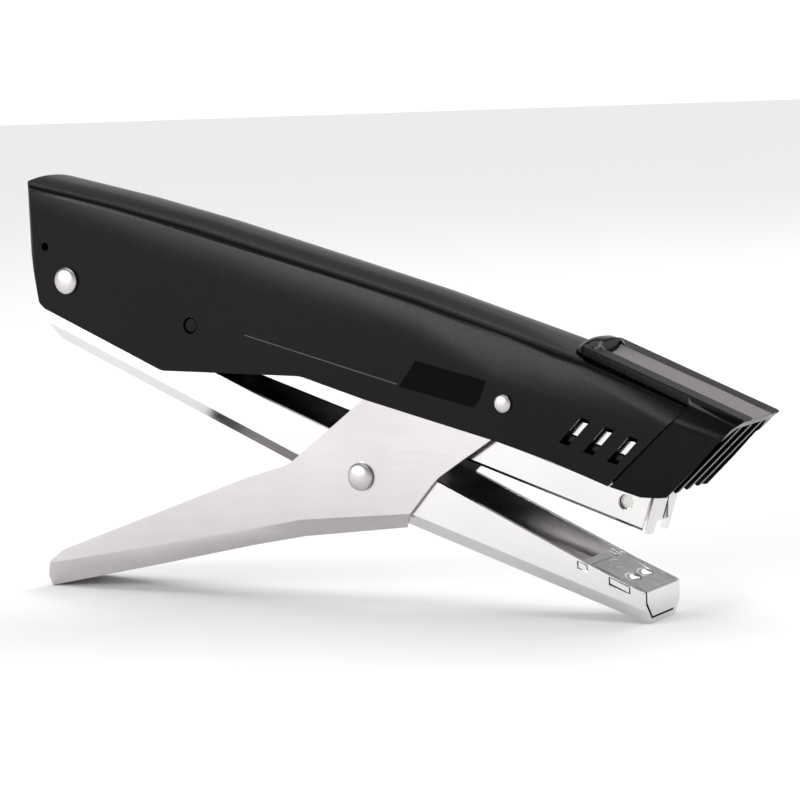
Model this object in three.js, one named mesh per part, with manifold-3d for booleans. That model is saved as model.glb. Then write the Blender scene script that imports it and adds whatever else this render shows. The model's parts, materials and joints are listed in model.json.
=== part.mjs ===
// A plier stapler: a hand-held stapler squeezed like a pair of pliers.
//
// Millimetres, +Z up, +X towards the jaws, Y across. The stapler stands open on the tip of its
// lower handle and the end of its anvil arm, both at z = 0. Side outlines are written as [x, z]
// corners with x = 0 at the rear face of the cover; the finished group is then moved so that the
// origin is the middle of the underside of its box.

import * as THREE from 'three';
import { mergeVertices } from 'three/addons/utils/BufferGeometryUtils.js';
import Module from 'manifold-3d';

const wasm = await Module();
wasm.setup();

// ---------------------------------------------------------------- driving dimensions

const LENGTH = 173.4; // rear face of the cover to the front edge of the nose cap
const GAP = 0.3; // clearance kept between separate pieces

// Half widths, from the cover inwards: each shell nests inside the one before it.
const COVER_HALF = 11.0;
const COVER_WALL = 0.9;
const HOOD_WALL = 1.6; // the nose cap's hood
const HANDLE_HALF = 9.7;
const HANDLE_WALL = 0.9;
const ARM_HALF = 8.5;
const ARM_WALL = 1.0;
const MAGAZINE_HALF = 6.3;
const MAGAZINE_WALL = 0.7;

// Pivots, as [x, z].
const REAR_PIVOT = [11.3, 68.9]; // anvil arm on the cover
const MAIN_PIVOT = [85.3, 27.2]; // lower handle on the anvil arm
const FULCRUM = [121.0, 43.8]; // pin in the cover that the handle's cam slot rides on
const MAGAZINE_PIVOT = [44.0, 59.1]; // magazine in the cover

// Travel of the linkage. Squeezing closes the jaw; the other two turns follow it.
const JAW_TRAVEL = THREE.MathUtils.degToRad(6.5);
const HANDLE_RATIO = -2.65; // handle turn about the main pivot, per turn of the arm

// The magazine's own frame: s runs forward along its floor, n is square to the floor.
const MAGAZINE_ORIGIN = [149.4, 17.6];
const MAGAZINE_SLOPE = THREE.MathUtils.degToRad(18.2);

// Heights above the magazine floor's underside.
const CHANNEL_HEIGHT = 8.2;
const CORE_BOTTOM = 1.1;
const CORE_TOP = 6.4;
const CROWN_TOP = 7.2;
const THROAT_REAR = -2.1; // s where the core and the staples stop, behind the driver

// The nose cap slides along the cover's sloping front.
const CAP_SLOPE = 0.398; // fall per millimetre forward

// The cover's roof line, and at each point: where the side starts to lean inwards, how far it
// leans in below the shoulder, the shoulder's radius, and how far the middle of the roof is
// crowned above its edges.
const ROOF = [
  { x: -2, z: 91.8, leanFrom: 84.0, lean: 0.3, shoulder: 2.2, crown: 0.9 },
  { x: 23, z: 86.4, leanFrom: 78.0, lean: 0.5, shoulder: 2.2, crown: 0.9 },
  { x: 45, z: 80.9, leanFrom: 71.6, lean: 0.9, shoulder: 2.0, crown: 0.9 },
  { x: 72.5, z: 73.2, leanFrom: 62.9, lean: 1.3, shoulder: 1.8, crown: 0.9 },
  { x: 100, z: 65.4, leanFrom: 56.0, lean: 1.6, shoulder: 2.0, crown: 0.9 },
  { x: 120, z: 59.1, leanFrom: 49.6, lean: 1.7, shoulder: 2.2, crown: 0.7 },
  { x: 132, z: 55.2, leanFrom: 46.0, lean: 1.6, shoulder: 2.2, crown: 0.2 },
  { x: 139, z: 52.9, leanFrom: 44.4, lean: 1.5, shoulder: 1.8, crown: 0 },
  { x: 166, z: 42.2, leanFrom: 37.6, lean: 1.5, shoulder: 1.4, crown: 0 },
];

// ---------------------------------------------------------------- materials

function metal(color, roughness) {
  return new THREE.MeshStandardMaterial({ color, roughness, metalness: 1 });
}

function plastic(color, roughness) {
  return new THREE.MeshStandardMaterial({ color, roughness, metalness: 0 });
}

const BLACK_PAINT = plastic(0x1c1918, 0.38);
const GLOSS_PLASTIC = plastic(0x0f0e0e, 0.22);
const SATIN_NICKEL = metal(0xd6d2d2, 0.34);
const CHROME = metal(0xe8e6e6, 0.12);
const STEEL = metal(0xa9a7a4, 0.4);
const SPRING_STEEL = metal(0x77756f, 0.35);
const STAPLE_WIRE = metal(0xc9c6c0, 0.3);

// ---------------------------------------------------------------- solids

function toSolid(geometry) {
  const bare = geometry.clone();
  bare.deleteAttribute('normal');
  bare.deleteAttribute('uv');
  const merged = mergeVertices(bare, 1e-4);
  return new wasm.Manifold(new wasm.Mesh({
    numProp: 3,
    vertProperties: new Float32Array(merged.attributes.position.array),
    triVerts: new Uint32Array(merged.index.array),
  }));
}

function toGeometry(solid) {
  const mesh = solid.getMesh();
  const geometry = new THREE.BufferGeometry();
  geometry.setAttribute('position', new THREE.BufferAttribute(mesh.vertProperties, mesh.numProp));
  geometry.setIndex(new THREE.BufferAttribute(mesh.triVerts, 1));
  geometry.computeVertexNormals();
  return geometry;
}

function join(first, ...others) {
  return others.reduce((solid, other) => solid.add(other), first);
}

function cut(first, ...others) {
  return others.reduce((solid, other) => solid.subtract(other), first);
}

function mesh(name, solid, material) {
  const result = new THREE.Mesh(toGeometry(solid), material);
  result.name = name;
  return result;
}

// A closed outline from [x, z, radius] corners; the radius is optional.
function outline(corners) {
  const shape = new THREE.Shape();
  const at = (i) => new THREE.Vector2(...corners[(i + corners.length) % corners.length]);
  corners.forEach(([, , radius = 0], i) => {
    const here = at(i);
    const back = at(i - 1).sub(here).normalize();
    const ahead = at(i + 1).sub(here).normalize();
    const reach = radius / Math.tan(back.angleTo(ahead) / 2);
    const start = here.clone().addScaledVector(back, reach);
    const end = here.clone().addScaledVector(ahead, reach);
    if (i === 0) shape.moveTo(start.x, start.y);
    else shape.lineTo(start.x, start.y);
    if (radius > 0) shape.quadraticCurveTo(here.x, here.y, end.x, end.y);
  });
  shape.closePath();
  return shape;
}

// A side outline given thickness across the stapler, from yMin to yMax.
function slab(shape, yMin, yMax) {
  const geometry = new THREE.ExtrudeGeometry(shape, {
    depth: yMax - yMin,
    bevelEnabled: false,
    curveSegments: 6,
  });
  geometry.rotateX(Math.PI / 2);
  geometry.translate(0, yMax, 0);
  return toSolid(geometry);
}

function plate(corners, yMin, yMax) {
  return slab(outline(corners), yMin, yMax);
}

function box(xMin, xMax, yMin, yMax, zMin, zMax) {
  const geometry = new THREE.BoxGeometry(xMax - xMin, yMax - yMin, zMax - zMin);
  geometry.translate((xMin + xMax) / 2, (yMin + yMax) / 2, (zMin + zMax) / 2);
  return toSolid(geometry);
}

// A rod or a drill across the stapler, centred on y = 0.
function crossRod([x, z], radius, length, segments = 24) {
  const geometry = new THREE.CylinderGeometry(radius, radius, length, segments);
  geometry.translate(x, 0, z);
  return toSolid(geometry);
}

// A solid drawn through matching rings of [y, z] points, each ring at its own x.
// Rings run anticlockwise seen from the front.
function loft(sections) {
  const count = sections[0].ring.length;
  const positions = sections.flatMap(({ x, ring }) => ring.flatMap(([y, z]) => [x, y, z]));
  const cap = (ring) => THREE.ShapeUtils.triangulateShape(
    ring.map(([y, z]) => new THREE.Vector2(y, z)), []);
  const last = (sections.length - 1) * count;
  const index = [];
  cap(sections[0].ring).forEach(([a, b, c]) => index.push(a, c, b));
  cap(sections.at(-1).ring).forEach(([a, b, c]) => index.push(last + a, last + b, last + c));
  for (let base = 0; base < last; base += count) {
    for (let i = 0; i < count; i += 1) {
      const a = base + i;
      const b = base + ((i + 1) % count);
      index.push(a, b, b + count, a, b + count, a + count);
    }
  }
  const geometry = new THREE.BufferGeometry();
  geometry.setAttribute('position', new THREE.Float32BufferAttribute(positions, 3));
  geometry.setIndex(index);
  return toSolid(geometry);
}

// A ring that is the same on both sides: right side from the bottom up, then its mirror image.
function mirrored(rightSide) {
  const leftSide = rightSide.map(([y, z]) => [-y, z]).reverse();
  return [...rightSide, ...leftSide];
}

// Revolved about the Y axis from [radius, y] points.
function turned(profile, segments = 24) {
  return toSolid(new THREE.LatheGeometry(profile.map(([r, y]) => new THREE.Vector2(r, y)), segments));
}

// A rivet with a domed head at each end; grip is the half length between the heads.
function domedRivet(shankRadius, grip, headRadius, headHeight) {
  const steps = 5;
  const dome = Array.from({ length: steps + 1 }, (_, i) => {
    const angle = (i / steps) * Math.PI / 2;
    return [headRadius * Math.cos(angle), grip + headHeight * (0.3 + 0.7 * Math.sin(angle))];
  });
  const half = [[shankRadius, grip], [headRadius, grip], ...dome];
  dome[steps][0] = 0;
  const otherHalf = half.map(([r, y]) => [r, -y]).reverse();
  return turned([...otherHalf, ...half]);
}

function tube(innerRadius, outerRadius, halfLength) {
  return turned([
    [innerRadius, -halfLength],
    [outerRadius, -halfLength],
    [outerRadius, halfLength],
    [innerRadius, halfLength],
    [innerRadius, -halfLength],
  ]);
}

// Wire of a round section along a curve.
function wire(path, radius, steps, sides = 6) {
  const section = new THREE.Shape();
  section.absarc(0, 0, radius, 0, Math.PI * 2);
  return toSolid(new THREE.ExtrudeGeometry(section, {
    steps,
    curveSegments: sides,
    extrudePath: path,
    bevelEnabled: false,
  }));
}

class CoilCurve extends THREE.Curve {
  // A helix about the s axis from start to end at height n.
  constructor(radius, turns, start, end, n) {
    super();
    Object.assign(this, { radius, turns, start, end, n });
  }

  getPoint(t) {
    const angle = t * this.turns * Math.PI * 2;
    return new THREE.Vector3(
      THREE.MathUtils.lerp(this.start, this.end, t),
      this.radius * Math.cos(angle),
      this.n + this.radius * Math.sin(angle),
    );
  }
}

// ---------------------------------------------------------------- top cover and what it carries

// The cover's cross-section at a roof point, drawn in by inset on every side.
function coverRing({ x, z, leanFrom, lean, shoulder, crown }, inset) {
  const half = COVER_HALF - inset;
  const top = z - inset;
  const radius = shoulder - inset / 2;
  const steps = 4;
  const arc = Array.from({ length: steps + 1 }, (_, i) => {
    const angle = (i / steps) * Math.PI / 2;
    const y = half - lean - radius * (1 - Math.cos(angle));
    return [y, top - radius * (1 - Math.sin(angle))];
  });
  const edge = half - lean - radius;
  const roof = [0.75, 0.5, 0.25].map((t) => [edge * t, top + crown * (1 - t * t)]);
  return { x, ring: mirrored([[half, -20], [half, leanFrom + inset / 2], ...arc, ...roof]) };
}

// Seen from above, the cover's rear corners are round.
function coverPlan(inset) {
  const half = COVER_HALF - inset;
  const radius = 4 - inset;
  const plan = outline([
    [inset, -half, radius], [200, -half], [200, half], [inset, half, radius],
  ]);
  return toSolid(new THREE.ExtrudeGeometry(plan, {
    depth: 120, bevelEnabled: false, curveSegments: 6,
  }));
}

function windowCut(index) {
  const x = 133.5 + 5.35 * index;
  const z = 36.1 - 1.75 * index;
  return plate([[x, z], [x + 2.2, z - 0.7], [x + 7.3, z + 4.6], [x + 5.2, z + 5.3]], -12, 12);
}

function topCover() {
  const side = plate([
    [4.6, 62.6], [35.8, 49.1, 3], [71.8, 48.5, 8], [87.4, 43.9, 12], [119.2, 35.8], [131.3, 32.2],
    [144.2, 27.5], [161.5, 43.6], [161.5, 60], [100, 100], [0.6, 100], [0, 80, 6], [3.1, 63.9, 1],
  ], -COVER_HALF, COVER_HALF);
  const cavity = plate([
    [4.6, 30], [4.2, 63.5], [COVER_WALL, 80, 6], [COVER_WALL, 100], [180, 100], [180, 10],
  ], -COVER_HALF, COVER_HALF);
  const shell = (inset) => loft(ROOF.map((point) => coverRing(point, inset)));
  const outer = shell(0).intersect(side).intersect(coverPlan(0));
  const inner = shell(COVER_WALL).intersect(cavity).intersect(coverPlan(COVER_WALL));
  const rearNotch = box(-1, 6, -9.2, 9.2, 60, 65.4);
  const windows = [0, 1, 2].map(windowCut);
  return cut(
    outer, inner, rearNotch, ...windows,
    crossRod(REAR_PIVOT, 2.3, 30),
    crossRod(FULCRUM, 1.9, 30),
    crossRod(MAGAZINE_PIVOT, 1.8, 30),
    crossRod([5.6, 76.5], 1.0, 30, 16),
  );
}

// The driver frame and the liners below it stand inside the cover, behind its windows.
const FRAME_HALF = COVER_HALF - HOOD_WALL - 2 * GAP;
const FRAME_WALL = 0.8;
const FRAME_REAR = -23;
const FRAME_CHEEK_FRONT = -4.6;
const FRAME_BOTTOM = 14.6;
const FRAME_TOP = 17.9;

function driverFrame() {
  const outer = box(FRAME_REAR, -0.4, -FRAME_HALF, FRAME_HALF, FRAME_BOTTOM, FRAME_TOP);
  const between = FRAME_HALF - FRAME_WALL;
  const inner = box(FRAME_REAR - 1, 1, -between, between, 10, FRAME_TOP - FRAME_WALL);
  const nose = box(FRAME_CHEEK_FRONT, 1, -20, 20, 10, FRAME_TOP - FRAME_WALL);
  const bladeSlot = box(-2.0, -0.6, -5.5, 5.5, 16, 19);
  return cut(outer, inner, nose, bladeSlot);
}

function windowLiner(side) {
  const middle = side * (FRAME_HALF - FRAME_WALL / 2);
  return box(FRAME_REAR, FRAME_CHEEK_FRONT, middle - FRAME_WALL / 2, middle + FRAME_WALL / 2,
    9.2, FRAME_BOTTOM - GAP);
}

// The blade hangs from the frame's web by two shoulders.
function driverBlade() {
  const blade = box(-1.6, -1.0, -5.2, 5.2, CROWN_TOP + GAP, 19.4);
  const shoulders = box(-1.9, -0.7, -6.6, 6.6, 18.1, 19.4);
  return join(blade, shoulders);
}

function rearRivet() {
  return domedRivet(2.0, COVER_HALF + 0.2, 3.0, 1.3);
}

function fulcrumRivet() {
  return domedRivet(1.6, COVER_HALF + 0.2, 1.9, 0.8);
}

function magazinePivotPin() {
  return crossRod([0, 0], 1.5, 2 * COVER_HALF - 0.6);
}

// A torsion spring coiled on the rear bush: one leg lies on the arm's floor, the other reaches up
// to the cover's roof.
function openingSpring() {
  const coilRadius = 5.2;
  const turns = 4;
  const [x, z] = REAR_PIVOT;
  const points = [new THREE.Vector3(27, -5.4, 50.6)];
  const steps = turns * 10;
  for (let i = 0; i <= steps; i += 1) {
    const angle = -0.9 + (i / steps) * (turns * Math.PI * 2 - 2.4);
    const y = THREE.MathUtils.lerp(-5.4, 5.4, i / steps);
    points.push(new THREE.Vector3(x - coilRadius * Math.cos(angle + 2.2), y,
      z - coilRadius * Math.sin(angle + 2.2)));
  }
  points.push(new THREE.Vector3(30, 5.4, 82.2));
  return wire(new THREE.CatmullRomCurve3(points, false, 'catmullrom', 0.5), 0.8, 90);
}

// A leaf spring under the roof that holds the magazine down: flat where it is fixed to the roof,
// then bowed down to rest on the magazine's top.
function magazineSpring() {
  const thickness = 0.6;
  const bow = new THREE.CatmullRomCurve3([
    [56, 75.4], [64, 73.2], [72, 69.0], [82, 58.0], [90, 49.6], [96, 46.2], [102, 45.4],
  ].map(([x, z]) => new THREE.Vector3(x, z, 0)));
  const upper = bow.getPoints(16).map(({ x, y }) => [x, y]);
  const lower = upper.map(([x, z]) => [x - thickness / 2, z - thickness]).reverse();
  return plate([...upper, ...lower], -3, 3);
}

// ---------------------------------------------------------------- nose cap

// Height of the top plate's upper and lower faces.
function capTopHeight(x) {
  return 55.5 - 0.41 * (x - 139);
}

function capUnderHeight(x) {
  return 53.9 - 0.4227 * (x - 139);
}

const CAP_HALF = 9.1;
const CAP_GRIP_END = 162.4; // in front of this the plate's edges round over into the hood

// The top plate lies on the cover like a lid; its thick side edges are the finger grips.
function capTopPlate() {
  const grip = (x, half) => ({
    x,
    ring: mirrored([[half + 0.25, capUnderHeight(x)], [half - 0.15, capTopHeight(x) - 0.3],
      [half - 0.5, capTopHeight(x)]]),
  });
  const front = (x) => ({
    x,
    ring: mirrored([[CAP_HALF + 0.4, capUnderHeight(x)], [CAP_HALF + 0.2, capTopHeight(x) - 0.9],
      [CAP_HALF - 0.5, capTopHeight(x)]]),
  });
  return loft([
    grip(138.4, 8.6), grip(138.9, CAP_HALF), grip(CAP_GRIP_END - 0.6, CAP_HALF), front(CAP_GRIP_END),
    front(LENGTH),
  ]);
}

// The hood below the plate, with its sides leaning in like the cover's. A thin lap behind its rear
// edge slides inside the cover.
function capHood() {
  const hoodRing = (x, leanFrom, inset) => ({
    x,
    ring: mirrored([
      [COVER_HALF - inset, 0],
      [COVER_HALF - inset, leanFrom],
      [CAP_HALF + 0.5 - inset, capUnderHeight(x) + 0.1 - inset],
      [CAP_HALF - 0.6 - inset, capUnderHeight(x) + 0.9 - inset],
    ]),
  });
  const rings = (inset) => loft([
    hoodRing(140, 45.2, inset), hoodRing(167.2, 37.6, inset), hoodRing(LENGTH, 35.2, inset),
  ]);
  const side = plate([
    [144.65, 27.4], [151.5, 25.5, 2], [180, 25.3], [180, 60], [161.95, 60], [161.95, 43.6],
  ], -20, 20);
  const lap = plate([[143.7, 28.5], [147.0, 27.5], [159.0, 38.3], [154.1, 38.3]], -9.75, 9.75)
    .subtract(box(140, 163, -9.1, 9.1, 20, 60));
  return cut(rings(0).intersect(side).intersect(hoodFront()), rings(HOOD_WALL)).add(lap);
}

// Everything behind the hood's raked front edge, whose rim is chamfered through the wall.
function hoodFront() {
  const chamfer = 1.2;
  const inside = COVER_HALF - HOOD_WALL;
  const rake = outline([
    [140.0, 9.5], [155.3, 25.3], [167.2, 37.6], [170.4, 39.5], [LENGTH - chamfer, 41.0],
    [LENGTH - chamfer, 70], [130, 70], [130, 9.5],
  ]);
  const geometry = new THREE.ExtrudeGeometry(rake, {
    depth: 2 * inside,
    bevelThickness: HOOD_WALL,
    bevelSize: chamfer,
    bevelSegments: 1,
  });
  return toSolid(geometry.rotateX(Math.PI / 2).translate(0, inside, 0));
}

function capSlat(y) {
  return plate([
    [156.8, 25.6, 0.5], [171.2, 39.4], [171.8, 41.0], [168.5, 42.4], [167.2, 38.0], [155.7, 26.8, 0.5],
  ], y - 0.6, y + 0.6);
}

// A domed ridge across the rear of the plate, for the thumb to push on. It rises from the cover's
// roof and drops steeply in front.
function capRidge() {
  const sides = 8;
  const dome = ([x, top, halfWidth]) => {
    const seat = capUnderHeight(x) - 2;
    const arc = Array.from({ length: sides }, (_, i) => {
      const angle = (i + 0.5) / sides * Math.PI / 2;
      return [halfWidth * Math.cos(angle) ** 0.8, seat + (top - seat) * Math.sin(angle) ** 0.8];
    });
    return { x, ring: mirrored([[halfWidth, seat], ...arc]) };
  };
  const crest = [
    [134.4, 54.9, 4.5], [136.0, 56.0, 6.6], [137.4, 56.7, 7.8], [138.8, 56.8, 8.6],
    [140.2, 56.4, 8.8], [141.4, 55.0, 8.8], [142.4, 53.9, 8.8],
  ];
  const aboveCover = plate([
    [134, 54.9], [138.4, 53.9], [142.4, 52.6], [144, 52.6], [144, 70], [134, 70],
  ], -20, 20);
  return loft(crest.map(dome)).intersect(aboveCover);
}

// The thumb trough down the middle of the top plate: round-bottomed, shallower towards the front,
// with an upright round wall at its rear end.
const TROUGH_REAR = 140.6;
const TROUGH_SIDES = 28;

function capTrough() {
  const section = (x, halfWidth, halfHeight, lift) => ({
    x,
    ring: Array.from({ length: TROUGH_SIDES }, (_, i) => {
      const angle = (i / TROUGH_SIDES) * Math.PI * 2;
      return [halfWidth * Math.cos(angle), capTopHeight(x) + lift + halfHeight * Math.sin(angle)];
    }),
  });
  return loft([section(TROUGH_REAR, 4.5, 1.8, 0.5), section(148, 4.7, 1.4, 0.55),
    section(LENGTH + 2, 5.2, 0.8, 0.4)]);
}

function noseCap() {
  const slats = [-5.2, 0, 5.2].map(capSlat);
  const slatBar = plate([[160.2, 31.2], [162.0, 31.2], [162.0, 33.0], [160.2, 33.0]], -9.9, 9.9);
  const railBoss = plate([
    [163.1, railHeight(163.1)], [166.4, railHeight(166.4)], [166.4, 44.0], [163.1, 45.0],
  ], -4, 4);
  const behindRake = plate([
    [130, 10], [140.4, 10], [156.8, 25.6], [171.4, 39.6], [LENGTH, 40.9], [LENGTH, 70], [130, 70],
  ], -20, 20);
  const whole = join(capTopPlate(), capHood(), capRidge(), slatBar, railBoss, ...slats);
  return cut(whole.intersect(behindRake), capTrough(), railScrewHole());
}

// The rail that guides the cap: a steel tongue under the cover's roof, with a wide end that
// stops against the rail guide when the cap is pulled out.
const RAIL_START = [112, 60.3];

function railHeight(x) {
  return RAIL_START[1] - CAP_SLOPE * (x - RAIL_START[0]);
}

function railStrip(xMin, xMax, below, above, halfWidth) {
  return plate([
    [xMin, railHeight(xMin) - below], [xMax, railHeight(xMax) - below],
    [xMax, railHeight(xMax) + above], [xMin, railHeight(xMin) + above],
  ], -halfWidth, halfWidth);
}

// An upright rod in the middle plane, from zMin to zMax.
function uprightRod(x, radius, zMin, zMax) {
  const geometry = new THREE.CylinderGeometry(radius, radius, zMax - zMin, 16);
  geometry.rotateX(Math.PI / 2);
  return toSolid(geometry.translate(x, 0, (zMin + zMax) / 2));
}

const SCREW_X = 164.8;
const SCREW_SEAT = railHeight(SCREW_X) - 1.2 - GAP; // underside of the rail at the screw

function railScrewHole() {
  const clearance = uprightRod(SCREW_X, 1.0, SCREW_SEAT - 1, SCREW_SEAT + 4.5);
  const headRoom = uprightRod(SCREW_X, 1.8, SCREW_SEAT - 3, SCREW_SEAT + 0.5);
  return clearance.add(headRoom);
}

function capRail() {
  const strip = railStrip(RAIL_START[0], 166.4, 1.2, -GAP, 3.6);
  const stop = railStrip(RAIL_START[0], RAIL_START[0] + 3.5, 1.2, -GAP, 5.6);
  const hole = uprightRod(SCREW_X, 1.0, SCREW_SEAT - 2, SCREW_SEAT + 3);
  return strip.add(stop).subtract(hole);
}

function capRailScrew() {
  const shank = uprightRod(SCREW_X, 0.7, SCREW_SEAT - 1, SCREW_SEAT + 3.4);
  const head = uprightRod(SCREW_X, 1.5, SCREW_SEAT - 1.6, SCREW_SEAT - 0.8);
  return shank.add(head);
}

function capRailGuide() {
  const body = railStrip(146, 151, 2.6, 1.3, 5.6);
  const slot = railStrip(140, 160, 1.2 + GAP, GAP, 3.6 + GAP);
  return body.subtract(slot);
}

// ---------------------------------------------------------------- anvil arm

// Underside of the arm: a steeper rear part and a flatter front part.
const ARM_BEND = [94, 17.1];
const ARM_FRONT = [150.3, -1.3];
const ARM_REAR_SLOPE = 0.4327;

function armFloor(x) {
  const [bendX, bendZ] = ARM_BEND;
  if (x < bendX) return bendZ + ARM_REAR_SLOPE * (bendX - x);
  return THREE.MathUtils.mapLinear(x, bendX, ARM_FRONT[0], bendZ, ARM_FRONT[1]);
}

function armSection(x, inset) {
  const half = ARM_HALF - inset;
  const floor = armFloor(x) + inset;
  return { x, ring: mirrored([[half - 2.4, floor], [half, floor + 3.2], [half, 90]]) };
}

// Two windows in each wall take the anvil plate's lugs.
const LUGS = [[135.7, 137.5], [142.8, 147.0]];
const ANVIL_SLOPE = 0.4175;

function anvilHeight(x) {
  return 5.8 + ANVIL_SLOPE * (149.8 - x);
}

function lugBar([xMin, xMax], grow, halfWidth) {
  const low = 1.6 + grow;
  const high = 0.5 - grow;
  return plate([
    [xMin - grow, anvilHeight(xMin) - low], [xMax + grow, anvilHeight(xMax) - low],
    [xMax + grow, anvilHeight(xMax) - high], [xMin - grow, anvilHeight(xMin) - high],
  ], -halfWidth, halfWidth);
}

function anvilArm() {
  const stations = [0, ARM_BEND[0], ARM_FRONT[0]];
  const side = plate([
    [2.6, 61.1], [5.7, 55.0], [94, 14], [ARM_FRONT[0], -3], [ARM_FRONT[0], 5.6, 0.6], [140.6, 9.6],
    [103.2, 26.5], [60, 43.5, 20], [38, 53, 8], [25, 71, 6], [17.5, 76.2, 4], [6.5, 75.5, 5],
    [5.0, 62.6],
  ], -ARM_HALF, ARM_HALF);
  const outer = loft(stations.map((x) => armSection(x, 0))).intersect(side);
  const inner = loft([-2, ARM_BEND[0], 160].map((x) => armSection(x, ARM_WALL)));
  return cut(
    outer, inner, ...LUGS.map((lug) => lugBar(lug, GAP, 20)),
    crossRod(REAR_PIVOT, 2.3, 30),
    crossRod(MAIN_PIVOT, 2.3, 30),
  );
}

// The anvil plate closes the arm's end: a top face with two clinching pockets, folded down in
// front, and held by lugs through the arm's walls.
function anvilPlate() {
  const half = ARM_HALF - ARM_WALL - GAP;
  const rear = 138.4;
  const top = plate([
    [rear, anvilHeight(rear) - 0.9], [149.4, anvilHeight(149.4) - 0.9], [149.4, 0.6], [150.5, 0.2],
    [150.5, 5.5, 0.5], [rear, anvilHeight(rear)],
  ], -half, half);
  const rearTab = plate([
    [135.6, anvilHeight(135.6) - 1.7], [140, anvilHeight(140) - 1.7], [140, anvilHeight(140) - 0.7],
    [135.6, anvilHeight(135.6) - 0.9],
  ], -half, half);
  const tabs = LUGS.map((lug) => lugBar(lug, 0, ARM_HALF - 0.1));
  const betweenTabs = box(130, 149, -4.5, 4.5, 0, anvilHeight(137.6) - 0.9);
  const pockets = [-1, 1].map((side) => {
    const pocket = new THREE.SphereGeometry(1, 20, 10);
    pocket.scale(1.7, 2.7, 0.8);
    pocket.rotateY(Math.atan(ANVIL_SLOPE));
    return toSolid(pocket.translate(145.3, 2.75 * side, anvilHeight(145.3) + 0.15));
  });
  const hollow = betweenTabs.intersect(plate([
    [120, 0], [149, 0], [149, anvilHeight(149) - 1.0], [120, anvilHeight(120) - 1.0],
  ], -20, 20));
  const armInside = loft([100, 160].map((x) => armSection(x, ARM_WALL + GAP)));
  return cut(join(top, rearTab).intersect(armInside).add(join(...tabs)), hollow, ...pockets);
}

// ---------------------------------------------------------------- lower handle

// The boss around the handle's slot stays below the cover's leaning walls when squeezed.
const FULCRUM_BOSS = 3.2;

// Handle underside and the crease above it where the side turns under.
const HANDLE_SECTIONS = [
  { x: -2, under: -1.7, crease: 3.7 },
  { x: 29.3, under: 4.9, crease: 9.4 },
  { x: 56.3, under: 10.8, crease: 14.5 },
  { x: 69.4, under: 13.3, crease: 17.2 },
  { x: 96, under: 16.5, crease: 19.6 },
  { x: 130, under: 16.5, crease: 19.6 },
];

function handleSection({ x, under, crease }, inset) {
  const half = HANDLE_HALF - inset;
  return {
    x,
    ring: mirrored([[half - 2.0, under + inset], [half, crease + inset / 2], [half, 90]]),
  };
}

// Turns the offset of a point from the origin by an angle, anticlockwise in the side view.
function turn([x, z], angle) {
  const [c, s] = [Math.cos(angle), Math.sin(angle)];
  return [x * c - z * s, x * s + z * c];
}

function minus([x0, z0], [x1, z1]) {
  return [x0 - x1, z0 - z1];
}

function plus([x0, z0], [x1, z1]) {
  return [x0 + x1, z0 + z1];
}

// Where the fulcrum pin lies on the handle once the jaw has turned by an angle.
function fulcrumOnHandle(jawAngle) {
  const pivot = plus(REAR_PIVOT, turn(minus(MAIN_PIVOT, REAR_PIVOT), jawAngle));
  const handleAngle = jawAngle * (1 + HANDLE_RATIO);
  return plus(MAIN_PIVOT, turn(minus(FULCRUM, pivot), -handleAngle));
}

// The slot that the fulcrum pin travels along, as wide as the pin needs.
function camSlot(radius) {
  const steps = 8;
  const track = Array.from({ length: steps + 1 }, (_, i) => fulcrumOnHandle(JAW_TRAVEL * i / steps));
  const drills = track.map((point) => crossRod(point, radius, 40));
  const links = track.slice(1).map((point, i) => {
    const from = new THREE.Vector2(...track[i]);
    const along = new THREE.Vector2(...point).sub(from);
    const across = new THREE.Vector2(-along.y, along.x).setLength(radius);
    const corners = [[0, 1], [0, -1], [1, -1], [1, 1]].map(([f, side]) => [
      from.x + along.x * f + across.x * side,
      from.y + along.y * f + across.y * side,
    ]);
    return plate(corners, -20, 20);
  });
  return join(...drills, ...links);
}

function lowerHandle() {
  const boss = crossRod(FULCRUM, FULCRUM_BOSS, 2 * HANDLE_HALF, 32);
  const side = plate([
    [0.2, -3], [-0.2, 1.2], [1.2, 4.8, 2], [5.2, 7.6, 2], [33.4, 17.8], [55.5, 25.7, 12],
    [66.9, 29.1, 8], [72, 32.8, 8], [88, 44.8, 8], [116.5, 46.2, 2], [119.8, 46.2, 2],
    [122.9, 39.9], [103.4, 27.1, 14], [95.7, 18.3, 4], [94.4, 14],
  ], -HANDLE_HALF, HANDLE_HALF).add(boss);
  const outer = loft(HANDLE_SECTIONS.map((section) => handleSection(section, 0)));
  const inner = loft([{ ...HANDLE_SECTIONS[0], x: -6 }, ...HANDLE_SECTIONS.slice(1)]
    .map((section) => handleSection(section, HANDLE_WALL)));
  const armRoom = join(
    box(88, 100, -7.7, 7.7, 0, 24),
    loft([80, ARM_BEND[0], 100].map((x) => armSection(x, -0.25))),
  );
  return cut(
    outer.intersect(side), inner, armRoom, camSlot(2.0),
    crossRod(MAIN_PIVOT, 2.3, 30),
  );
}

function handleTipPad() {
  return plate([[0.9, 1.7], [1.2, 3.9, 0.4], [6.4, 4.9, 0.4], [6.4, 2.9]], -6.4, 6.4);
}

// ---------------------------------------------------------------- magazine

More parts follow.
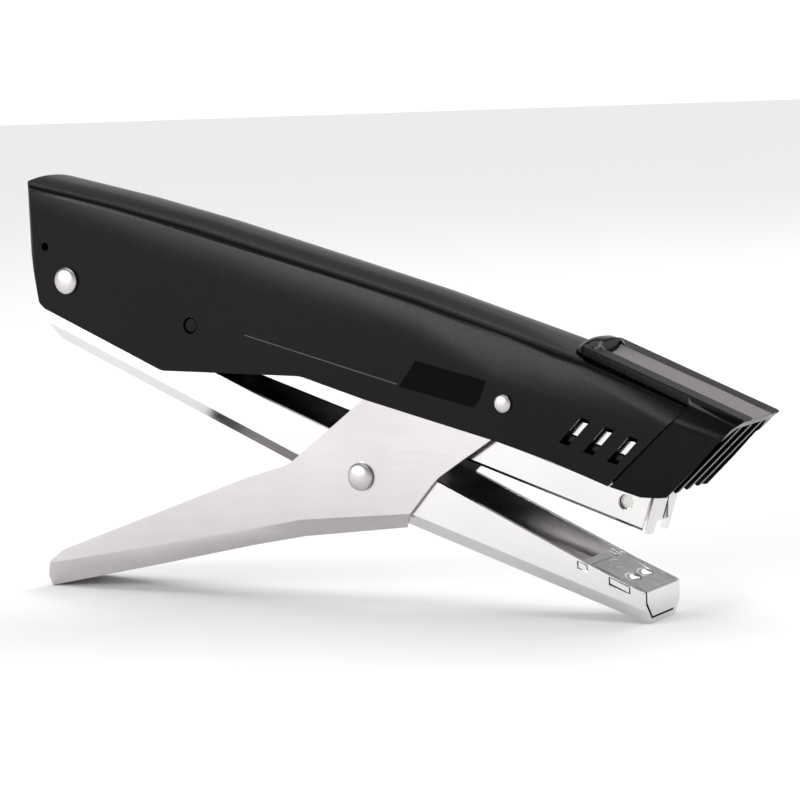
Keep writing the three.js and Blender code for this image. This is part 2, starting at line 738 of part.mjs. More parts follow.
function magazineChannel() {
  const half = MAGAZINE_HALF;
  const corner = 0.8;
  const section = (x, inset) => ({
    x,
    ring: mirrored([
      [half - inset - corner, inset], [half - inset, corner + inset], [half - inset, 20],
    ]),
  });
  const side = plate([
    [-120, 0, 1], [-0.3, -1], [-0.3, CHANNEL_HEIGHT], [-104, CHANNEL_HEIGHT, 4], [-109, 10.6, 3],
    [-119, 10.6, 3],
  ], -half, half);
  const shell = loft([section(-122, 0), section(2, 0)]).intersect(side)
    .subtract(loft([section(-130, MAGAZINE_WALL), section(8, MAGAZINE_WALL)]));
  const beads = [-1, 1].map((sign) => {
    const bead = new THREE.CapsuleGeometry(0.85, 52, 4, 12).rotateZ(Math.PI / 2);
    return toSolid(bead.translate(-34.3, sign * (half - 0.1), 7.35));
  });
  const room = box(-130, 10, -(half - MAGAZINE_WALL), half - MAGAZINE_WALL, 2, 30);
  const sight = crossRod([-5.2, 4.6], 1.7, 30);
  const exit = box(-3, 5, -(half - MAGAZINE_WALL), half - MAGAZINE_WALL, -1, 2);
  return cut(join(shell, ...beads), room, sight, exit, crossRod(pivotInMagazine(), 2.4, 30));
}

// The magazine's pivot in its own frame.
function pivotInMagazine() {
  return turn(minus(MAGAZINE_PIVOT, MAGAZINE_ORIGIN), MAGAZINE_SLOPE);
}

const CORE_HALF = 4.3;
const CORE_WALL = 0.6;

function magazineCore() {
  const outer = plate([[-104, CORE_BOTTOM], [THROAT_REAR, CORE_BOTTOM], [THROAT_REAR, CORE_TOP, 0.6],
    [-104, CORE_TOP]], -CORE_HALF, CORE_HALF);
  const inner = box(-110, -4, -(CORE_HALF - CORE_WALL), CORE_HALF - CORE_WALL, 0, CORE_TOP - CORE_WALL);
  const tongueSlot = box(-101, -8, -1.5, 1.5, 4, 10);
  return cut(outer, inner, tongueSlot);
}

// The nose: a thick front plate with rounded corners, a sight slit and a notch at the staple's
// exit, carried by two ears on top of the magazine's walls.
function nosePlate() {
  const plan = new THREE.Shape();
  const half = 5.0;
  const front = 0.95;
  const radius = 0.9;
  plan.moveTo(-0.2, -half);
  plan.lineTo(front - radius, -half);
  plan.absarc(front - radius, radius - half, radius, -Math.PI / 2, 0, false);
  plan.absarc(front - radius, half - radius, radius, 0, Math.PI / 2, false);
  plan.lineTo(-0.2, half);
  plan.closePath();
  const face = toSolid(new THREE.ExtrudeGeometry(plan, {
    depth: 10.2, bevelEnabled: false, curveSegments: 5,
  }).translate(0, 0, -0.4));
  const bridge = box(-0.2, 0.6, -6.9, 6.9, CHANNEL_HEIGHT + GAP, 9.8);
  const ears = [-1, 1].map((side) => box(-7, 0.6, Math.min(5.7 * side, 6.9 * side),
    Math.max(5.7 * side, 6.9 * side), CHANNEL_HEIGHT + GAP, 9.8));
  const slit = box(-1, 2, -0.25, 0.25, 2.4, 7.2);
  const notch = plate([[-1, -1], [2, -1], [2, 2.2], [-1, 2.2]], -2.6, 2.6);
  return cut(join(face, bridge, ...ears), slit, notch);
}

function guideRod() {
  const rod = new THREE.CylinderGeometry(1.0, 1.0, 99.5, 16).rotateZ(Math.PI / 2);
  return toSolid(rod.translate(-54.15, 0, 3.5));
}

// The rear end of the magazine: a block behind the core that the pusher spring bears on.
function magazineEndBlock() {
  const block = plate([[-108.8, 1.2], [-104.4, 1.2], [-104.4, 7.6, 0.8], [-108.8, 7.6]], -5.2, 5.2);
  const pivotRoom = crossRod(pivotInMagazine(), 3.6, 30);
  return block.subtract(pivotRoom);
}

function magazinePivotBush() {
  return tube(1.8, 2.9, MAGAZINE_HALF - MAGAZINE_WALL - GAP);
}

// ---------------------------------------------------------------- pusher and staples

const STRIP_REAR = -52;
const PUSHER_LENGTH = 8;

function staplePusher() {
  const rear = STRIP_REAR - PUSHER_LENGTH - GAP;
  const front = STRIP_REAR - GAP;
  const half = MAGAZINE_HALF - MAGAZINE_WALL - GAP;
  const saddle = box(rear, front, -half, half, CORE_BOTTOM + 0.6, 8.6)
    .subtract(box(rear - 1, front + 1, -(CORE_HALF + GAP), CORE_HALF + GAP, 0, CORE_TOP + GAP));
  const tongue = box(rear + 1, front - 3, -1.1, 1.1, 2.6, CORE_TOP + 1)
    .subtract(box(rear, front, -20, 20, 0, 3.5))
    .subtract(toSolid(new THREE.CylinderGeometry(1.35, 1.35, 30, 20).rotateZ(Math.PI / 2)
      .translate(rear, 0, 3.5)));
  return saddle.add(tongue);
}

function stapleStrip() {
  const outer = CORE_HALF + 1.0;
  const inner = CORE_HALF + 0.4;
  const bottom = 1.4;
  return box(STRIP_REAR, THROAT_REAR, -outer, outer, bottom, CROWN_TOP)
    .subtract(box(STRIP_REAR - 1, THROAT_REAR + 1, -inner, inner, 0, CROWN_TOP - 0.45));
}

function pusherSpring() {
  const rear = -103.6;
  const front = STRIP_REAR - PUSHER_LENGTH + 0.2;
  return wire(new CoilCurve(1.75, 13, rear, front, 3.5), 0.3, 156);
}

// ---------------------------------------------------------------- assembly

function placedAt([x, z], piece) {
  piece.position.set(x, 0, z);
  return piece;
}

const magazineFrame = new THREE.Group();
magazineFrame.position.set(MAGAZINE_ORIGIN[0], 0, MAGAZINE_ORIGIN[1]);
magazineFrame.rotation.y = MAGAZINE_SLOPE;
magazineFrame.add(
  mesh('driver_frame', driverFrame(), CHROME),
  mesh('driver_blade', driverBlade(), STEEL),
  mesh('window_liner_right', windowLiner(-1), GLOSS_PLASTIC),
  mesh('window_liner_left', windowLiner(1), GLOSS_PLASTIC),
  mesh('magazine_channel', magazineChannel(), CHROME),
  mesh('magazine_core', magazineCore(), CHROME),
  mesh('nose_plate', nosePlate(), CHROME),
  mesh('guide_rod', guideRod(), STEEL),
  mesh('magazine_end_block', magazineEndBlock(), GLOSS_PLASTIC),
  mesh('staple_pusher', staplePusher(), GLOSS_PLASTIC),
  mesh('staple_strip', stapleStrip(), STAPLE_WIRE),
  mesh('pusher_spring', pusherSpring(), SPRING_STEEL),
);

const bushHalf = 6.2;
const stapler = new THREE.Group();
stapler.add(
  mesh('top_cover', topCover(), BLACK_PAINT),
  placedAt(REAR_PIVOT, mesh('rear_rivet', rearRivet(), SATIN_NICKEL)),
  placedAt(REAR_PIVOT, mesh('rear_bush', tube(2.3, 3.6, bushHalf), STEEL)),
  placedAt(FULCRUM, mesh('fulcrum_rivet', fulcrumRivet(), SATIN_NICKEL)),
  placedAt(FULCRUM, mesh('fulcrum_roller', tube(1.9, 2.6, 8.0), STEEL)),
  placedAt(MAGAZINE_PIVOT, mesh('magazine_pivot_pin', magazinePivotPin(), BLACK_PAINT)),
  placedAt(MAGAZINE_PIVOT, mesh('magazine_pivot_bush', magazinePivotBush(), STEEL)),
  mesh('opening_spring', openingSpring(), SPRING_STEEL),
  mesh('magazine_spring', magazineSpring(), SPRING_STEEL),
  mesh('cap_rail_guide', capRailGuide(), STEEL),
  mesh('nose_cap', noseCap(), GLOSS_PLASTIC),
  mesh('cap_rail', capRail(), STEEL),
  mesh('cap_rail_screw', capRailScrew(), STEEL),
  mesh('anvil_arm', anvilArm(), CHROME),
  mesh('anvil_plate', anvilPlate(), CHROME),
  placedAt(MAIN_PIVOT, mesh('main_rivet', domedRivet(2.0, HANDLE_HALF + 0.2, 3.0, 1.3), SATIN_NICKEL)),
  placedAt(MAIN_PIVOT, mesh('main_bush', tube(2.3, 3.2, bushHalf), STEEL)),
  mesh('lower_handle', lowerHandle(), SATIN_NICKEL),
  mesh('handle_tip_pad', handleTipPad(), GLOSS_PLASTIC),
  magazineFrame,
);
stapler.position.set(-LENGTH / 2, 0, -ARM_FRONT[1]);

const part = new THREE.Group();
part.add(stapler);

export default part;
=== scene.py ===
"""The looks of the plier stapler: finer copies of its CAD pieces, their materials, the studio."""

import json
import math

import bmesh
import bpy
from mathutils import Matrix, Vector


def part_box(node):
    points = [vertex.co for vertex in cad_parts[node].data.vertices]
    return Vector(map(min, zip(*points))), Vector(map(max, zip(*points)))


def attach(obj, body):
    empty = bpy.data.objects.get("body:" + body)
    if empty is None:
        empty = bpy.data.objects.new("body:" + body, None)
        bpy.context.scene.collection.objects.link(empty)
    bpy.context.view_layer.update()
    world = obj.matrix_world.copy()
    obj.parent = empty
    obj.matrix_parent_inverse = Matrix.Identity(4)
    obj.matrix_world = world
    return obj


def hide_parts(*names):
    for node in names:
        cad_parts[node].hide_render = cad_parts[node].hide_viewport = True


MM = 0.001

# The view of the photograph, in the row frame.
CAMERA_AZIMUTH = 30.75
CAMERA_ELEVATION = 6.55
CAMERA_ROLL = -2.4
CAMERA_DISTANCE = 617.1 * MM
CAMERA_TARGET = Vector((3.2, 0.0, 43.8)) * MM
CAMERA_LENS = 129.9

# The magazine's frame: s forward along its floor, n square to it.
MAGAZINE_ORIGIN = Vector((62.7, 0.0, 18.9)) * MM
MAGAZINE_SLOPE = math.radians(18.2)

# The nose cap's top plane, and the box below it that holds the trough's surface, where a painted
# highlight colours the trough light grey.
CAP_SLOPE = 0.41
CAP_PLANE_HEIGHT = (56.8 + CAP_SLOPE * 52.3) * MM
TROUGH_REAR = 54.0 * MM
TROUGH_HALF = 4.9 * MM
TROUGH_RIM = 0.07 * MM
TROUGH_DEPTH = 2.0 * MM
TROUGH_DULLNESS = 0.3

# The depth of every finish's fine grain.
GRAIN_DEPTH = 0.02 * MM

# Rounded edges: which edges are sharp enough to round, and in how many steps.
SHARP_EDGE = math.radians(32)
EDGE_STEPS = 3

# Staples: pitch along the strip and the wire's section.
STAPLE_PITCH = 0.53 * MM
STAPLE_WIRE = 0.47 * MM

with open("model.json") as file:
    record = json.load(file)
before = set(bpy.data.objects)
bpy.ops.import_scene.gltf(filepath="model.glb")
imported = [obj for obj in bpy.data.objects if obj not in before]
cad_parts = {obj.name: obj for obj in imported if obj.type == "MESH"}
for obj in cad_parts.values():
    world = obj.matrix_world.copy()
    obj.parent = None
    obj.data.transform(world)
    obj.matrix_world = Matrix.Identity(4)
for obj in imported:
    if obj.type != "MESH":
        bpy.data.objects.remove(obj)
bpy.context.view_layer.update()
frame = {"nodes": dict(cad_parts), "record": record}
record = frame["record"]
BODY_OF = {
    node: body
    for body, nodes in record["behaviour"]["bodies"].items()
    for node in nodes
}
SLOT_OF = {entry["node"]: entry["material_slot"] for entry in record["subparts"]}


# ---------------------------------------------------------------- shader helpers


def new_material(name):
    """A material with its node tree emptied down to one Principled BSDF."""
    material = bpy.data.materials.new(name)
    material.use_nodes = True
    nodes = material.node_tree.nodes
    nodes.clear()
    output = nodes.new("ShaderNodeOutputMaterial")
    shader = nodes.new("ShaderNodeBsdfPrincipled")
    material.node_tree.links.new(shader.outputs["BSDF"], output.inputs["Surface"])
    return material, shader


def link(material, source, target):
    material.node_tree.links.new(source, target)


def noise(material, scale, stretch=(1, 1, 1), turn=0.0):
    """Noise in object space, stretched along an axis by a small scale on it."""
    nodes = material.node_tree.nodes
    coordinates = nodes.new("ShaderNodeTexCoord")
    mapping = nodes.new("ShaderNodeMapping")
    mapping.inputs["Scale"].default_value = stretch
    mapping.inputs["Rotation"].default_value = (0, turn, 0)
    texture = nodes.new("ShaderNodeTexNoise")
    texture.inputs["Scale"].default_value = scale
    texture.inputs["Detail"].default_value = 4.0
    texture.inputs["Roughness"].default_value = 0.55
    link(material, coordinates.outputs["Object"], mapping.inputs["Vector"])
    link(material, mapping.outputs["Vector"], texture.inputs["Vector"])
    return texture.outputs["Fac"]


def ramp(material, source, stops):
    """A colour ramp of (position, colour) stops."""
    node = material.node_tree.nodes.new("ShaderNodeValToRGB")
    elements = node.color_ramp.elements
    while len(elements) < len(stops):
        elements.new(0.5)
    for element, (position, colour) in zip(elements, stops):
        element.position = position
        element.color = (*colour, 1.0)
    link(material, source, node.inputs["Fac"])
    return node.outputs["Color"]


def spread(material, source, low, high):
    """Maps a 0 to 1 texture to the range low to high."""
    node = material.node_tree.nodes.new("ShaderNodeMapRange")
    node.inputs["From Min"].default_value = 0.3
    node.inputs["From Max"].default_value = 0.7
    node.inputs["To Min"].default_value = low
    node.inputs["To Max"].default_value = high
    link(material, source, node.inputs["Value"])
    return node.outputs["Result"]


def math_node(material, operation, *values):
    """A Math node: each value is a socket or a number."""
    node = material.node_tree.nodes.new("ShaderNodeMath")
    node.operation = operation
    for socket, value in zip(node.inputs, values):
        if isinstance(value, bpy.types.NodeSocket):
            link(material, value, socket)
        else:
            socket.default_value = value
    return node.outputs["Value"]


def bump(material, shader, source, strength):
    """A grain in relief, GRAIN_DEPTH deep at full strength."""
    node = material.node_tree.nodes.new("ShaderNodeBump")
    node.inputs["Strength"].default_value = strength
    node.inputs["Distance"].default_value = GRAIN_DEPTH
    link(material, source, node.inputs["Height"])
    link(material, node.outputs["Normal"], shader.inputs["Normal"])


def vary(material, shader, colours, roughness, blotches, grain, relief, stretch=(1, 1, 1)):
    """Fine variation that every finish has: mottled colour, uneven gloss and a grain in relief."""
    broad = noise(material, blotches)
    fine = noise(material, grain, stretch, turn=MAGAZINE_SLOPE)
    link(material, ramp(material, broad, [(0.3, colours[0]), (0.7, colours[1])]),
         shader.inputs["Base Color"])
    link(material, spread(material, fine, *roughness), shader.inputs["Roughness"])
    bump(material, shader, fine, relief)


# ---------------------------------------------------------------- the finishes


def black_paint():
    material, shader = new_material("black_paint")
    vary(material, shader, [(0.0034, 0.0029, 0.0027), (0.0048, 0.0041, 0.0039)], (0.25, 0.32),
         60, 2600, 0.10)
    shader.inputs["Specular IOR Level"].default_value = 0.11
    return material


def gloss_plastic():
    material, shader = new_material("gloss_plastic")
    vary(material, shader, [(0.0018, 0.0015, 0.0015), (0.0030, 0.0026, 0.0026)], (0.15, 0.21),
         45, 1800, 0.06)
    shader.inputs["Specular IOR Level"].default_value = 0.24
    return material


def cap_plastic():
    """The nose cap's plastic: glossy, with a painted highlight in the thumb trough: a light grey
    grained colour stands in for its lit floor.
    """
    material, shader = new_material("cap_plastic")
    nodes = material.node_tree.nodes
    coordinates = nodes.new("ShaderNodeTexCoord")
    split = nodes.new("ShaderNodeSeparateXYZ")
    link(material, coordinates.outputs["Object"], split.inputs["Vector"])
    x, y, z = (split.outputs[axis] for axis in "XYZ")
    plane = math_node(material, "MULTIPLY_ADD", x, CAP_SLOPE, -CAP_PLANE_HEIGHT)
    height = math_node(material, "ADD", z, plane)
    below = math_node(material, "LESS_THAN", height, -TROUGH_RIM)
    inner = math_node(material, "LESS_THAN", math_node(material, "ABSOLUTE", y), TROUGH_HALF)
    ahead = math_node(material, "GREATER_THAN", x, TROUGH_REAR)
    shallow = math_node(material, "GREATER_THAN", height, -TROUGH_DEPTH)
    across = math_node(material, "MULTIPLY", math_node(material, "MULTIPLY", below, inner), shallow)
    mask = math_node(material, "MULTIPLY", across, ahead)
    broad = noise(material, 45)
    fine = noise(material, 2600)
    gloss = ramp(material, broad, [(0.3, (0.0018, 0.0015, 0.0015)), (0.7, (0.0030, 0.0026, 0.0026))])
    # Painted highlight: inside the trough mask the lit floor is painted light grey in place of the
    # black plastic.
    painted_trough_light = ramp(material, fine, [(0.3, (0.17, 0.155, 0.157)), (0.7, (0.25, 0.23, 0.233))])
    mix = nodes.new("ShaderNodeMix")
    mix.data_type = "RGBA"
    link(material, mask, mix.inputs["Factor"])
    link(material, gloss, mix.inputs["A"])
    link(material, painted_trough_light, mix.inputs["B"])
    link(material, mix.outputs["Result"], shader.inputs["Base Color"])
    even = spread(material, fine, 0.15, 0.21)
    dull = math_node(material, "MULTIPLY_ADD", mask, TROUGH_DULLNESS, even)
    link(material, dull, shader.inputs["Roughness"])
    bump(material, shader, fine, 0.06)
    shader.inputs["Specular IOR Level"].default_value = 0.10
    return material


def badge_lacquer():
    material, shader = new_material("badge_lacquer")
    vary(material, shader, [(0.0008, 0.0007, 0.0007), (0.0014, 0.0012, 0.0012)], (0.20, 0.26),
         90, 2200, 0.04)
    shader.inputs["Specular IOR Level"].default_value = 0.04
    return material


def scored_line():
    material, shader = new_material("scored_line")
    vary(material, shader, [(0.030, 0.027, 0.026), (0.060, 0.055, 0.053)], (0.35, 0.45),
         120, 1800, 0.10)
    return material


def satin_nickel():
    material, shader = new_material("satin_nickel")
    vary(material, shader, [(0.52, 0.497, 0.497), (0.59, 0.566, 0.566)], (0.30, 0.38),
         30, 900, 0.10, stretch=(0.08, 1, 1))
    shader.inputs["Metallic"].default_value = 1.0
    return material


def chrome():
    material, shader = new_material("chrome")
    vary(material, shader, [(0.68, 0.665, 0.665), (0.74, 0.725, 0.725)], (0.12, 0.18),
         25, 700, 0.05, stretch=(0.1, 1, 1))
    shader.inputs["Metallic"].default_value = 1.0
    return material


def steel():
    material, shader = new_material("steel")
    vary(material, shader, [(0.40, 0.39, 0.38), (0.48, 0.47, 0.46)], (0.30, 0.42),
         80, 1500, 0.12, stretch=(1, 0.1, 1))
    shader.inputs["Metallic"].default_value = 1.0
    return material


def spring_steel():
    material, shader = new_material("spring_steel")
    vary(material, shader, [(0.16, 0.15, 0.14), (0.24, 0.22, 0.21)], (0.28, 0.38),
         300, 2500, 0.10)
    shader.inputs["Metallic"].default_value = 1.0
    return material


def staple_wire():
    material, shader = new_material("staple_wire")
    vary(material, shader, [(0.55, 0.54, 0.52), (0.66, 0.65, 0.62)], (0.22, 0.34),
         200, 1800, 0.08)
    shader.inputs["Metallic"].default_value = 1.0
    return material


def plain_floor():
    material, shader = new_material("plain_floor")
    shader.inputs["Base Color"].default_value = (0.92, 0.92, 0.92, 1.0)
    shader.inputs["Roughness"].default_value = 0.8
    return material


FINISHES = {
    make.__name__: make()
    for make in (black_paint, gloss_plastic, cap_plastic, badge_lacquer, scored_line,
                 satin_nickel, chrome, steel, spring_steel, staple_wire)
}


# ---------------------------------------------------------------- pieces


# A node whose finish is its own and not its slot's.
OWN_FINISH = {"nose_cap": "cap_plastic"}

# Edge radius of each node that is rounded, in millimetres.
EDGES = {
    "top_cover": 0.28,
    "nose_cap": 0.12,
    "lower_handle": 0.28,
    "anvil_arm": 0.30,
    "anvil_plate": 0.22,
    "magazine_channel": 0.18,
    "magazine_core": 0.12,
    "nose_plate": 0.14,
    "driver_frame": 0.15,
    "driver_blade": 0.08,
    # The window liners are black plates put below the driver frame as painted shade: they darken the
    # cover's windows where its inside lies in shade.
    "window_liner_right": 0.12,
    "window_liner_left": 0.12,
    "handle_tip_pad": 0.30,
    "rear_bush": 0.15,
    "fulcrum_roller": 0.15,
    "main_bush": 0.15,
    "magazine_pivot_bush": 0.15,
    "magazine_pivot_pin": 0.20,
    "magazine_spring": 0.10,
    "cap_rail": 0.15,
    "cap_rail_guide": 0.15,
    "cap_rail_screw": 0.12,
    "guide_rod": 0.15,
    "magazine_end_block": 0.25,
    "staple_pusher": 0.25,
}

def put(name, mesh, body, slot, replaces=(), finish=None):
    """Makes a piece of a mesh: it takes the slot's finish, or its own, and moves with the body."""
    piece = bpy.data.objects.new(name, mesh)
    bpy.context.scene.collection.objects.link(piece)
    piece.data.materials.clear()
    piece.data.materials.append(FINISHES[finish or slot])
    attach(piece, body)
    if replaces:
        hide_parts(*replaces)
    return piece


def mesh_from(name, bm):
    """Turns a bmesh into a mesh, with its faces pointing out."""
    bmesh.ops.recalc_face_normals(bm, faces=bm.faces)
    mesh = bpy.data.meshes.new(name)
    bm.to_mesh(mesh)
    bm.free()
    return mesh


def clean_copy(node):
    """The CAD node's mesh with its triangles merged back into flat faces."""
    mesh = frame["nodes"][node].data.copy()
    bm = bmesh.new()
    bm.from_mesh(mesh)
    bmesh.ops.remove_doubles(bm, verts=bm.verts, dist=0.001 * MM)
    bmesh.ops.dissolve_limit(
        bm, angle_limit=math.radians(0.6), verts=bm.verts, edges=bm.edges,
        use_dissolve_boundaries=False)
    bmesh.ops.recalc_face_normals(bm, faces=bm.faces)
    bm.to_mesh(mesh)
    bm.free()
    if "custom_normal" in mesh.attributes:
        mesh.attributes.remove(mesh.attributes["custom_normal"])
    return mesh


def finished(node, edge):
    """A finer copy of a CAD node with every sharp edge rounded by edge."""
    mesh = clean_copy(node)
    for polygon in mesh.polygons:
        polygon.use_smooth = True
    piece = put(node + "_fine", mesh, BODY_OF[node], SLOT_OF[node], replaces=[node],
                finish=OWN_FINISH.get(node))
    bevel = piece.modifiers.new("edges", "BEVEL")
    bevel.width = edge
    bevel.segments = EDGE_STEPS
    bevel.limit_method = "ANGLE"
    bevel.angle_limit = SHARP_EDGE
    bevel.use_clamp_overlap = True
    bevel.miter_outer = "MITER_ARC"
    weighted = piece.modifiers.new("shading", "WEIGHTED_NORMAL")
    weighted.mode = "FACE_AREA"
    weighted.weight = 80


def smooth_spring(node):
    """A smooth copy of a wire spring, which has no edges to round."""
    mesh = clean_copy(node)
    for polygon in mesh.polygons:
        polygon.use_smooth = True
    put(node + "_fine", mesh, BODY_OF[node], SLOT_OF[node], replaces=[node])


def spun(name, profile, centre, body, slot, replaces=()):
    """A mesh turned about the Y axis through centre, from (radius, y) points."""
    bm = bmesh.new()
    points = [bm.verts.new((radius, y, 0)) for radius, y in profile]
    edges = [bm.edges.new(pair) for pair in zip(points, points[1:])]
    bmesh.ops.spin(bm, geom=points + edges, axis=(0, 1, 0), cent=(0, 0, 0),
                   angle=2 * math.pi, steps=64, use_merge=True)
    bmesh.ops.remove_doubles(bm, verts=bm.verts, dist=0.001 * MM)
    for face in bm.faces:
        face.smooth = True
    mesh = mesh_from(name, bm)
    mesh.transform(Matrix.Translation(centre))
    mesh.set_sharp_from_angle(angle=math.radians(40))
    put(name, mesh, body, slot, replaces)


def domed_rivet(node, head_radius, shank_radius, head_height):
    """A rivet with a full-round dome at both ends, standing on a narrow collar."""
    low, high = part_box(node)
    centre = (low + high) / 2
    tip = (high.y - low.y) / 2
    seat = tip - head_height
    collar = seat + 0.25 * head_height
    steps = 14
    dome = []
    for i in range(steps + 1):
        angle = math.pi / 2 * i / steps
        radius = head_radius * math.cos(angle) if i < steps else 0.0
        dome.append((radius, collar + (tip - collar) * math.sin(angle)))
    half = [(shank_radius, 0.0), (shank_radius, seat), (head_radius, seat), *dome]
    profile = [(r, -y) for r, y in reversed(half[1:])] + half[1:]
    spun(node + "_fine", profile, centre, BODY_OF[node], SLOT_OF[node], replaces=[node])


def magazine_point(s, y, n):
    """A point given in the magazine's frame, in the row frame."""
    along = Vector((math.cos(MAGAZINE_SLOPE), 0, -math.sin(MAGAZINE_SLOPE)))
    square = Vector((math.sin(MAGAZINE_SLOPE), 0, math.cos(MAGAZINE_SLOPE)))
    return MAGAZINE_ORIGIN + along * s + square * n + Vector((0, y, 0))


def add_prism(bm, outline, start, end):
    """Adds a prism between two s stations, from an outline of (y, n) points."""
    rings = [[bm.verts.new(magazine_point(s, y, n)) for y, n in outline] for s in (start, end)]
    bm.faces.new(rings[0])
    bm.faces.new(reversed(rings[1]))
    count = len(outline)
    for i in range(count):
        j = (i + 1) % count
        bm.faces.new((rings[0][i], rings[1][i], rings[1][j], rings[0][j]))


def staple_outline(half, top, foot):
    """An inverted U of wire: the crown's outer corners are bent round."""
    corner = 0.7 * MM
    steps = 4

    def arc(y, n, radius, first, last):
        angles = [first + (last - first) * i / steps for i in range(steps + 1)]
        return [(y + radius * math.cos(a), n + radius * math.sin(a)) for a in angles]

    inner = half - STAPLE_WIRE
    inner_corner = corner - 0.4 * MM
    outside = [(half, foot), *arc(half - corner, top - corner, corner, 0, math.pi / 2),
               *arc(corner - half, top - corner, corner, math.pi / 2, math.pi), (-half, foot)]
    under = top - STAPLE_WIRE
    inside = [(-inner, foot),
              *arc(inner_corner - inner, under - inner_corner, inner_corner, math.pi, math.pi / 2),
              *arc(inner - inner_corner, under - inner_corner, inner_corner, math.pi / 2, 0),
              (inner, foot)]
    return outside + inside


def staple_strip():
    """The strip as the separate wires it is glued up from."""
    outline = staple_outline(5.3 * MM, 7.2 * MM, 1.4 * MM)
    front = -2.1 * MM
    rear = -52.0 * MM
    count = int((front - rear) / STAPLE_PITCH)
    bm = bmesh.new()
    for i in range(count):
        start = front - i * STAPLE_PITCH
        add_prism(bm, outline, start - STAPLE_WIRE, start)
    mesh = mesh_from("staple_strip", bm)
    put("staples", mesh, "magazine", "staple_wire", replaces=["staple_strip"])


def add_slab(bm, corners, place, thickness):
    """Adds a thin plate: corners are flat (a, b) points, place(a, b, height) puts them in space."""
    bottom = [bm.verts.new(place(a, b, 0.0)) for a, b in corners]
    top = [bm.verts.new(place(a, b, thickness)) for a, b in corners]
    bm.faces.new(top)
    bm.faces.new(reversed(bottom))
    for i in range(len(corners)):
        j = (i + 1) % len(corners)
        bm.faces.new((bottom[i], bottom[j], top[j], top[i]))


def badge():
    """A blank lacquered badge and a fine scored line on the cover's near side."""
    side = -11.0 * MM

    def on_side(x, z, height):
        return (x * MM, side + 0.01 * MM - height, z * MM)

    plates = {
        "badge_plate": [(13.8, 53.6), (30.5, 49.7), (28.4, 45.1), (27.2, 44.1), (9.6, 48.1)],
        "badge_line": [(-28.5, 58.6), (9.2, 48.7), (9.1, 48.5), (-28.5, 58.4)],
    }
    for name, corners in plates.items():
        bm = bmesh.new()
        add_slab(bm, corners, on_side, 0.07 * MM)
        finish = "badge_lacquer" if name == "badge_plate" else "scored_line"
        put(name, mesh_from(name, bm), "cover", "gloss_plastic", finish=finish)


def anvil_stamp():
    """A fine oval ring standing on the anvil plate's top."""
    centre = Vector((53.6, 0.0, 11.05)) * MM
    slope = math.atan(0.4175)
    along = Vector((math.cos(slope), 0, -math.sin(slope)))
    square = Vector((math.sin(slope), 0, math.cos(slope)))
    turns = 40
    sides = 6
    half_width = 2.6 * MM
    half_length = 1.6 * MM
    wire = 0.09 * MM
    bm = bmesh.new()
    rings = []
    for i in range(turns):
        angle = 2 * math.pi * i / turns
        outward = Vector((0, math.cos(angle) * half_width, 0)) + along * math.sin(angle) * half_length
        spine = centre + outward
        outward.normalize()
        ring = []
        for j in range(sides):
            around = 2 * math.pi * j / sides
            ring.append(bm.verts.new(
                spine + outward * math.cos(around) * wire + square * math.sin(around) * wire))
        rings.append(ring)
    for i in range(turns):
        here, there = rings[i], rings[(i + 1) % turns]
        for j in range(sides):
            k = (j + 1) % sides
            bm.faces.new((here[j], there[j], there[k], here[k])).smooth = True
    put("anvil_stamp", mesh_from("anvil_stamp", bm), "anvil_arm", "steel")


for node_name, edge_radius in EDGES.items():
    finished(node_name, edge_radius * MM)

for spring in ("opening_spring", "pusher_spring"):
    smooth_spring(spring)

domed_rivet("rear_rivet", 3.0 * MM, 2.0 * MM, 1.3 * MM)
domed_rivet("main_rivet", 3.0 * MM, 2.0 * MM, 1.3 * MM)
domed_rivet("fulcrum_rivet", 1.9 * MM, 1.6 * MM, 0.8 * MM)
staple_strip()
badge()
anvil_stamp()


# ---------------------------------------------------------------- studio


def direction(azimuth, elevation):
    """From the object towards a place at that azimuth and elevation."""
    a = math.radians(azimuth)
    e = math.radians(elevation)
    return Vector((math.sin(a) * math.cos(e), -math.cos(a) * math.cos(e), math.sin(e)))


def look(obj, towards, roll=0.0):
    """Points an object's -Z at a place, rolled about the line of sight."""
    back = (obj.location - towards).normalized()
    right = Vector((0, 0, 1)).cross(back).normalized()
    up = back.cross(right)
    r = math.radians(roll)
    rolled_right = right * math.cos(r) + up * math.sin(r)
    rolled_up = up * math.cos(r) - right * math.sin(r)
    obj.rotation_euler = Matrix((rolled_right, rolled_up, back)).transposed().to_euler()


def add_camera():
    data = bpy.data.cameras.new("camera")
    data.lens = CAMERA_LENS
    data.sensor_width = 36.0
    data.clip_start = 0.01
    data.clip_end = 20.0
    camera = bpy.data.objects.new("camera", data)
    bpy.context.scene.collection.objects.link(camera)
    camera.location = CAMERA_TARGET + direction(CAMERA_AZIMUTH, CAMERA_ELEVATION) * CAMERA_DISTANCE
    look(camera, CAMERA_TARGET, CAMERA_ROLL)
    bpy.context.scene.camera = camera


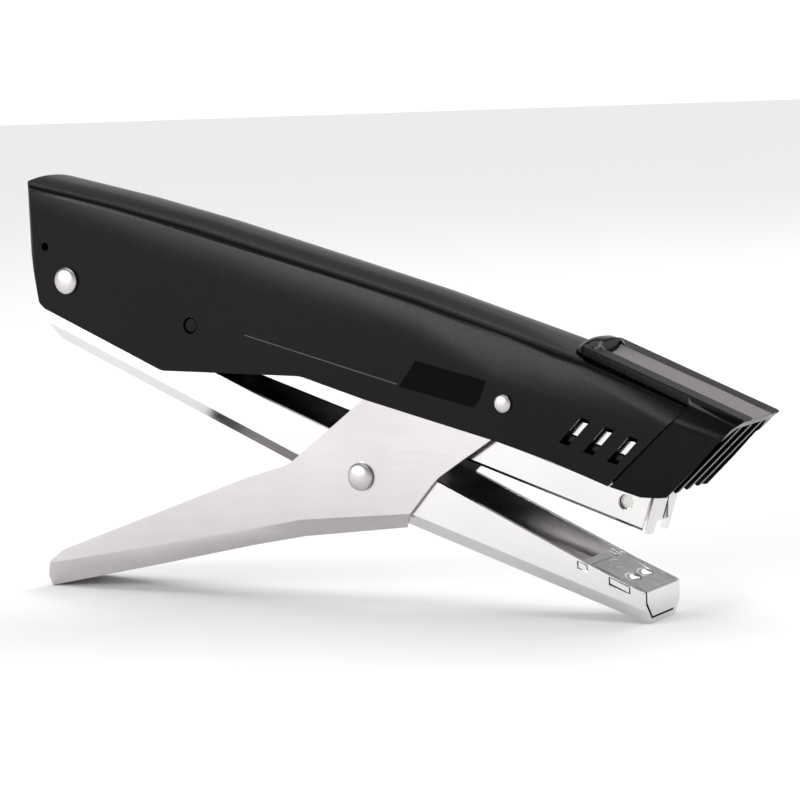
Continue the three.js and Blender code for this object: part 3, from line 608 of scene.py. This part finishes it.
def add_softbox(name, azimuth, elevation, distance, size, power):
    data = bpy.data.lights.new(name, "AREA")
    data.shape = "RECTANGLE"
    data.size, data.size_y = size
    data.energy = power
    lamp = bpy.data.objects.new(name, data)
    bpy.context.scene.collection.objects.link(lamp)
    centre = Vector((0, 0, 0.045))
    lamp.location = centre + direction(azimuth, elevation) * distance
    look(lamp, centre)


def add_floor():
    bm = bmesh.new()
    bmesh.ops.create_grid(bm, x_segments=1, y_segments=1, size=6.0)
    mesh = bpy.data.meshes.new("floor")
    bm.to_mesh(mesh)
    bm.free()
    floor = bpy.data.objects.new("floor", mesh)
    bpy.context.scene.collection.objects.link(floor)
    floor.data.materials.append(plain_floor())


def add_sun():
    """The overhead light: wide, so that shadows stay soft."""
    data = bpy.data.lights.new("overhead", "SUN")
    data.energy = 2.1
    data.angle = math.radians(80)
    lamp = bpy.data.objects.new("overhead", data)
    bpy.context.scene.collection.objects.link(lamp)
    lamp.rotation_euler = (math.radians(-12), math.radians(8), 0)


def add_world():
    """White to the camera. It lights everything from the horizon, and is darker overhead."""
    world = bpy.data.worlds.new("studio")
    world.use_nodes = True
    nodes = world.node_tree.nodes
    links = world.node_tree.links
    background = nodes["Background"]
    background.inputs["Color"].default_value = (1.0, 1.0, 1.0, 1.0)
    coordinates = nodes.new("ShaderNodeTexCoord")
    split = nodes.new("ShaderNodeSeparateXYZ")
    sky = nodes.new("ShaderNodeMapRange")
    sky.inputs["From Min"].default_value = 0.20
    sky.inputs["From Max"].default_value = 0.50
    sky.inputs["To Min"].default_value = 0.80
    sky.inputs["To Max"].default_value = 0.20
    path = nodes.new("ShaderNodeLightPath")
    strength = nodes.new("ShaderNodeMix")
    strength.inputs["B"].default_value = 1.15
    links.new(coordinates.outputs["Generated"], split.inputs["Vector"])
    links.new(split.outputs["Z"], sky.inputs["Value"])
    links.new(sky.outputs["Result"], strength.inputs["A"])
    links.new(path.outputs["Is Camera Ray"], strength.inputs["Factor"])
    links.new(strength.outputs["Result"], background.inputs["Strength"])
    bpy.context.scene.world = world


add_camera()
add_floor()
add_world()
add_sun()
add_softbox("front_strip", -31, 17, 1.2, (0.7, 0.26), 8.5)
add_softbox("back_strip", 160, 40, 1.2, (0.9, 0.3), 3.0)
bpy.context.scene.view_settings.view_transform = "Standard"
